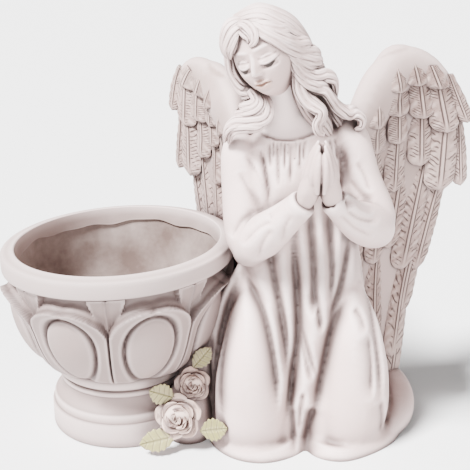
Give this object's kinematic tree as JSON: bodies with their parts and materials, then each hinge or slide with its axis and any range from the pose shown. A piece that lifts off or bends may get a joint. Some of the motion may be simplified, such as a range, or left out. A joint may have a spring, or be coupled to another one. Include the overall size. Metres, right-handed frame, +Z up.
{
  "type": "angel planter figurine",
  "caption": "Kneeling winged angel with praying hands, cast in one with a round footed bowl for a plant or birdseed and a spray of roses.",
  "frame": {"origin": "middle of the overall box, on the ground the casting stands on", "axes": "+Z up, the figure looks towards -Y, the bowl stands on the -X side (the viewer's left)"},
  "size_m": [0.3234, 0.1798, 0.2923],
  "materials": {
    "resin": "matte ivory cast resin with a pinkish brown wash in its hollows"
  },
  "bodies": {
    "root": {"angel_with_bowl": "resin"}
  },
  "joints": []
}
